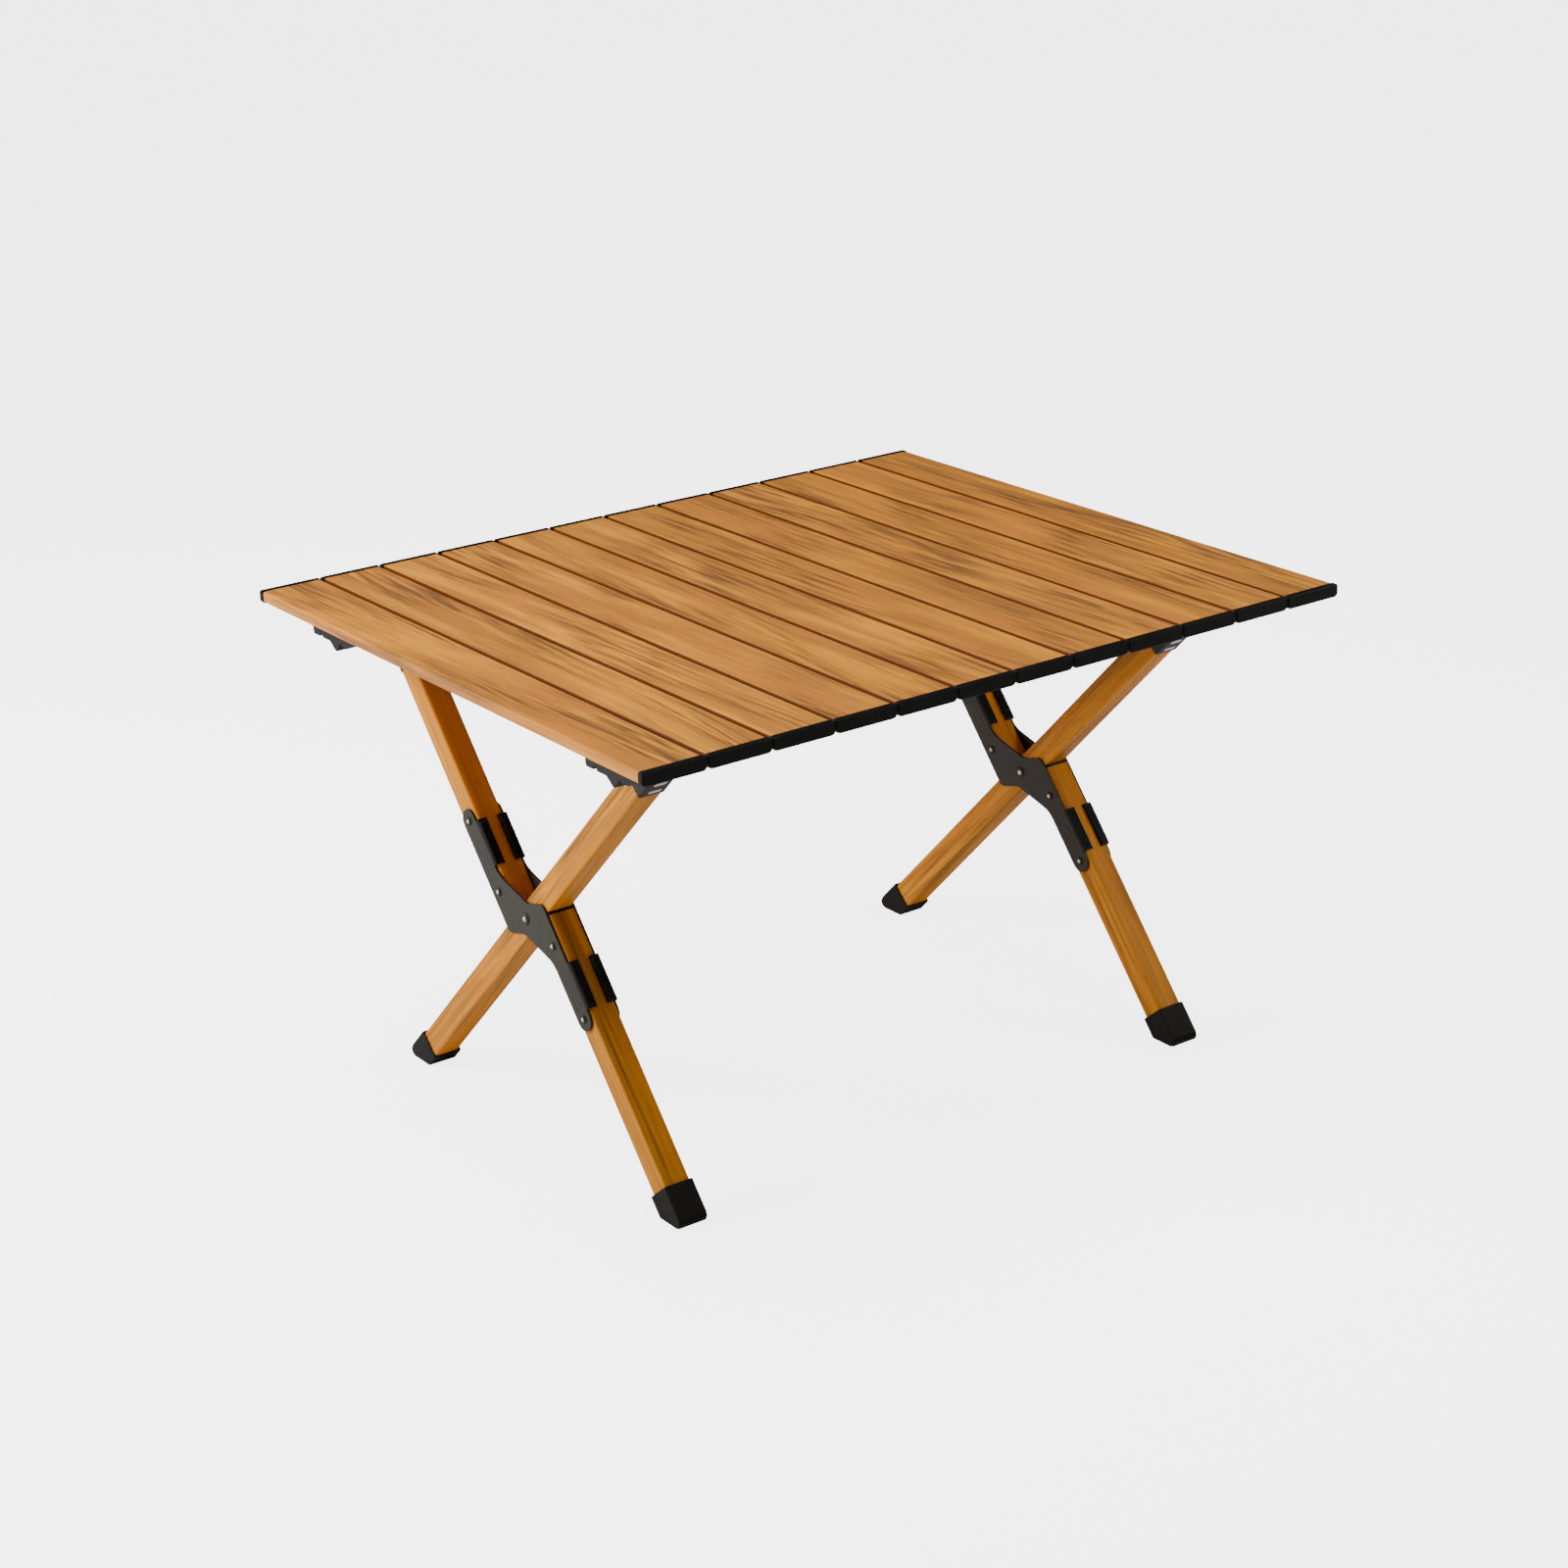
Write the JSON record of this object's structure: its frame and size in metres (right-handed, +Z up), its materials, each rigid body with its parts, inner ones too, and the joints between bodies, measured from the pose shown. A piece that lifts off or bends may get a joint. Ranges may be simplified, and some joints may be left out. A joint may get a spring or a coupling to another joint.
{
  "type": "camping table",
  "caption": "Roll-top camping table: wood-grain slats with black end caps on two folding X trestles, joined by folding side rails.",
  "frame": {"origin": "on the floor under the middle of the top", "axes": "+X across the slats, towards the right trestle; +Y along the slats, towards the back; +Z up"},
  "size_m": [0.719, 0.6, 0.4405],
  "materials": {
    "slat_wood_grain": "warm teak grain printed on aluminium, satin lacquer",
    "leg_wood_grain": "orange oak grain printed on aluminium tube, satin lacquer",
    "cap_plastic": "black moulded plastic, fine texture",
    "boot_plastic": "black moulded plastic, fine texture",
    "plate_steel": "dark grey powder coat on pressed steel, bright rivets",
    "bracket_steel": "dark grey powder coat on bent steel"
  },
  "bodies": {
    "bracket_back_left": {"corner_bracket_back_left": "bracket_steel"},
    "bracket_front_left": {"corner_bracket_front_left": "bracket_steel"},
    "bracket_back_right": {"corner_bracket_back_right": "bracket_steel"},
    "bracket_front_right": {"corner_bracket_front_right": "bracket_steel"},
    "plated_leg_left": {"upper_half_leg_left": "leg_wood_grain", "lower_half_leg_left": "leg_wood_grain", "half_leg_foot_left": "boot_plastic", "joint_plate_out_left": "plate_steel", "joint_plate_in_left": "plate_steel"},
    "plated_leg_right": {"upper_half_leg_right": "leg_wood_grain", "lower_half_leg_right": "leg_wood_grain", "half_leg_foot_right": "boot_plastic", "joint_plate_out_right": "plate_steel", "joint_plate_in_right": "plate_steel"},
    "crossing_leg_left": {"long_leg_left": "leg_wood_grain", "long_leg_foot_left": "boot_plastic"},
    "crossing_leg_right": {"long_leg_right": "leg_wood_grain", "long_leg_foot_right": "boot_plastic"},
    "rail_back_left": {"half_rail_back_left": "leg_wood_grain"},
    "link_back": {"rail_link_back": "bracket_steel"},
    "rail_back_right": {"half_rail_back_right": "leg_wood_grain"},
    "rail_front_left": {"half_rail_front_left": "leg_wood_grain"},
    "link_front": {"rail_link_front": "bracket_steel"},
    "rail_front_right": {"half_rail_front_right": "leg_wood_grain"},
    "top_slat_01": {"slat_01": "slat_wood_grain", "slat_cap_back_01": "cap_plastic", "slat_cap_front_01": "cap_plastic"},
    "top_slat_02": {"slat_02": "slat_wood_grain", "slat_cap_back_02": "cap_plastic", "slat_cap_front_02": "cap_plastic"},
    "top_slat_03": {"slat_03": "slat_wood_grain", "slat_cap_back_03": "cap_plastic", "slat_cap_front_03": "cap_plastic"},
    "top_slat_04": {"slat_04": "slat_wood_grain", "slat_cap_back_04": "cap_plastic", "slat_cap_front_04": "cap_plastic"},
    "top_slat_05": {"slat_05": "slat_wood_grain", "slat_cap_back_05": "cap_plastic", "slat_cap_front_05": "cap_plastic"},
    "top_slat_06": {"slat_06": "slat_wood_grain", "slat_cap_back_06": "cap_plastic", "slat_cap_front_06": "cap_plastic"},
    "top_slat_07": {"slat_07": "slat_wood_grain", "slat_cap_back_07": "cap_plastic", "slat_cap_front_07": "cap_plastic"},
    "top_slat_08": {"slat_08": "slat_wood_grain", "slat_cap_back_08": "cap_plastic", "slat_cap_front_08": "cap_plastic"},
    "top_slat_09": {"slat_09": "slat_wood_grain", "slat_cap_back_09": "cap_plastic", "slat_cap_front_09": "cap_plastic"},
    "top_slat_10": {"slat_10": "slat_wood_grain", "slat_cap_back_10": "cap_plastic", "slat_cap_front_10": "cap_plastic"},
    "top_slat_11": {"slat_11": "slat_wood_grain", "slat_cap_back_11": "cap_plastic", "slat_cap_front_11": "cap_plastic"},
    "top_slat_12": {"slat_12": "slat_wood_grain", "slat_cap_back_12": "cap_plastic", "slat_cap_front_12": "cap_plastic"}
  },
  "joints": [
    {"name": "plated_leg_left_fold", "type": "hinge", "parent": "bracket_back_left", "child": "plated_leg_left", "pos_m": [-0.2725, 0.19, 0.3967], "axis": [1, 0, 0], "range_deg": [0, 39]},
    {"name": "long_leg_left_fold", "type": "hinge", "parent": "plated_leg_left", "child": "crossing_leg_left", "pos_m": [-0.2725, 0, 0.2067], "axis": [1, 0, 0], "range_deg": [-78, 0]},
    {"name": "front_bracket_left_fold", "type": "hinge", "parent": "crossing_leg_left", "child": "bracket_front_left", "pos_m": [-0.2725, -0.19, 0.3967], "axis": [1, 0, 0], "range_deg": [0, 39]},
    {"name": "half_rail_back_left_fold", "type": "hinge", "parent": "bracket_back_left", "child": "rail_back_left", "pos_m": [-0.23, 0.19, 0.4197], "axis": [0, 1, 0], "range_deg": [0, 90]},
    {"name": "rail_link_back_fold", "type": "hinge", "parent": "rail_back_left", "child": "link_back", "pos_m": [-0.017, 0.19, 0.4197], "axis": [0, 1, 0], "range_deg": [-90, 0]},
    {"name": "half_rail_back_right_fold", "type": "hinge", "parent": "link_back", "child": "rail_back_right", "pos_m": [0.017, 0.19, 0.4197], "axis": [0, 1, 0], "range_deg": [-90, 0]},
    {"name": "back_bracket_right_fold", "type": "hinge", "parent": "rail_back_right", "child": "bracket_back_right", "pos_m": [0.23, 0.19, 0.4197], "axis": [0, 1, 0], "range_deg": [0, 90]},
    {"name": "plated_leg_right_fold", "type": "hinge", "parent": "bracket_back_right", "child": "plated_leg_right", "pos_m": [0.2725, 0.19, 0.3967], "axis": [1, 0, 0], "range_deg": [0, 39]},
    {"name": "long_leg_right_fold", "type": "hinge", "parent": "plated_leg_right", "child": "crossing_leg_right", "pos_m": [0.2725, 0, 0.2067], "axis": [1, 0, 0], "range_deg": [-78, 0]},
    {"name": "front_bracket_right_fold", "type": "hinge", "parent": "crossing_leg_right", "child": "bracket_front_right", "pos_m": [0.2725, -0.19, 0.3967], "axis": [1, 0, 0], "range_deg": [0, 39]},
    {"name": "half_rail_front_left_fold", "type": "hinge", "parent": "bracket_front_left", "child": "rail_front_left", "pos_m": [-0.23, -0.19, 0.4197], "axis": [0, 1, 0], "range_deg": [0, 90]},
    {"name": "rail_link_front_fold", "type": "hinge", "parent": "rail_front_left", "child": "link_front", "pos_m": [-0.017, -0.19, 0.4197], "axis": [0, 1, 0], "range_deg": [-90, 0]},
    {"name": "half_rail_front_right_fold", "type": "hinge", "parent": "link_front", "child": "rail_front_right", "pos_m": [0.017, -0.19, 0.4197], "axis": [0, 1, 0], "range_deg": [-90, 0]},
    {"name": "top_lift", "type": "slide", "parent": "bracket_back_left", "child": "top_slat_06", "axis": [0, 0, 1], "range_m": [0, 0.7]},
    {"name": "slat_07_roll", "type": "hinge", "parent": "top_slat_06", "child": "top_slat_07", "pos_m": [0, 0, 0.43], "axis": [0, 1, 0], "range_deg": [0, 29]},
    {"name": "slat_08_roll", "type": "hinge", "parent": "top_slat_07", "child": "top_slat_08", "pos_m": [0.06, 0, 0.43], "axis": [0, 1, 0], "range_deg": [0, 29]},
    {"name": "slat_09_roll", "type": "hinge", "parent": "top_slat_08", "child": "top_slat_09", "pos_m": [0.12, 0, 0.43], "axis": [0, 1, 0], "range_deg": [0, 29]},
    {"name": "slat_10_roll", "type": "hinge", "parent": "top_slat_09", "child": "top_slat_10", "pos_m": [0.18, 0, 0.43], "axis": [0, 1, 0], "range_deg": [0, 29]},
    {"name": "slat_11_roll", "type": "hinge", "parent": "top_slat_10", "child": "top_slat_11", "pos_m": [0.24, 0, 0.43], "axis": [0, 1, 0], "range_deg": [0, 29]},
    {"name": "slat_12_roll", "type": "hinge", "parent": "top_slat_11", "child": "top_slat_12", "pos_m": [0.3, 0, 0.43], "axis": [0, 1, 0], "range_deg": [0, 29]},
    {"name": "slat_05_roll", "type": "hinge", "parent": "top_slat_06", "child": "top_slat_05", "pos_m": [-0.06, 0, 0.43], "axis": [0, 1, 0], "range_deg": [-29, 0]},
    {"name": "slat_04_roll", "type": "hinge", "parent": "top_slat_05", "child": "top_slat_04", "pos_m": [-0.12, 0, 0.43], "axis": [0, 1, 0], "range_deg": [-29, 0]},
    {"name": "slat_03_roll", "type": "hinge", "parent": "top_slat_04", "child": "top_slat_03", "pos_m": [-0.18, 0, 0.43], "axis": [0, 1, 0], "range_deg": [-29, 0]},
    {"name": "slat_02_roll", "type": "hinge", "parent": "top_slat_03", "child": "top_slat_02", "pos_m": [-0.24, 0, 0.43], "axis": [0, 1, 0], "range_deg": [-29, 0]},
    {"name": "slat_01_roll", "type": "hinge", "parent": "top_slat_02", "child": "top_slat_01", "pos_m": [-0.3, 0, 0.43], "axis": [0, 1, 0], "range_deg": [-29, 0]}
  ],
  "couplings": [
    {"joint": "long_leg_left_fold", "follows": "plated_leg_left_fold", "ratio": -2},
    {"joint": "front_bracket_left_fold", "follows": "plated_leg_left_fold", "ratio": 1},
    {"joint": "plated_leg_right_fold", "follows": "plated_leg_left_fold", "ratio": 1},
    {"joint": "long_leg_right_fold", "follows": "plated_leg_left_fold", "ratio": -2},
    {"joint": "front_bracket_right_fold", "follows": "plated_leg_left_fold", "ratio": 1},
    {"joint": "half_rail_back_left_fold", "follows": "back_bracket_right_fold", "ratio": 1},
    {"joint": "rail_link_back_fold", "follows": "back_bracket_right_fold", "ratio": -1},
    {"joint": "half_rail_back_right_fold", "follows": "back_bracket_right_fold", "ratio": -1},
    {"joint": "half_rail_front_left_fold", "follows": "back_bracket_right_fold", "ratio": 1},
    {"joint": "rail_link_front_fold", "follows": "back_bracket_right_fold", "ratio": -1},
    {"joint": "half_rail_front_right_fold", "follows": "back_bracket_right_fold", "ratio": -1},
    {"joint": "slat_07_roll", "follows": "top_lift", "rad_per_m": 0.72},
    {"joint": "slat_08_roll", "follows": "top_lift", "rad_per_m": 0.72},
    {"joint": "slat_09_roll", "follows": "top_lift", "rad_per_m": 0.72},
    {"joint": "slat_10_roll", "follows": "top_lift", "rad_per_m": 0.72},
    {"joint": "slat_11_roll", "follows": "top_lift", "rad_per_m": 0.72},
    {"joint": "slat_12_roll", "follows": "top_lift", "rad_per_m": 0.72},
    {"joint": "slat_05_roll", "follows": "top_lift", "rad_per_m": -0.72},
    {"joint": "slat_04_roll", "follows": "top_lift", "rad_per_m": -0.72},
    {"joint": "slat_03_roll", "follows": "top_lift", "rad_per_m": -0.72},
    {"joint": "slat_02_roll", "follows": "top_lift", "rad_per_m": -0.72},
    {"joint": "slat_01_roll", "follows": "top_lift", "rad_per_m": -0.72}
  ]
}
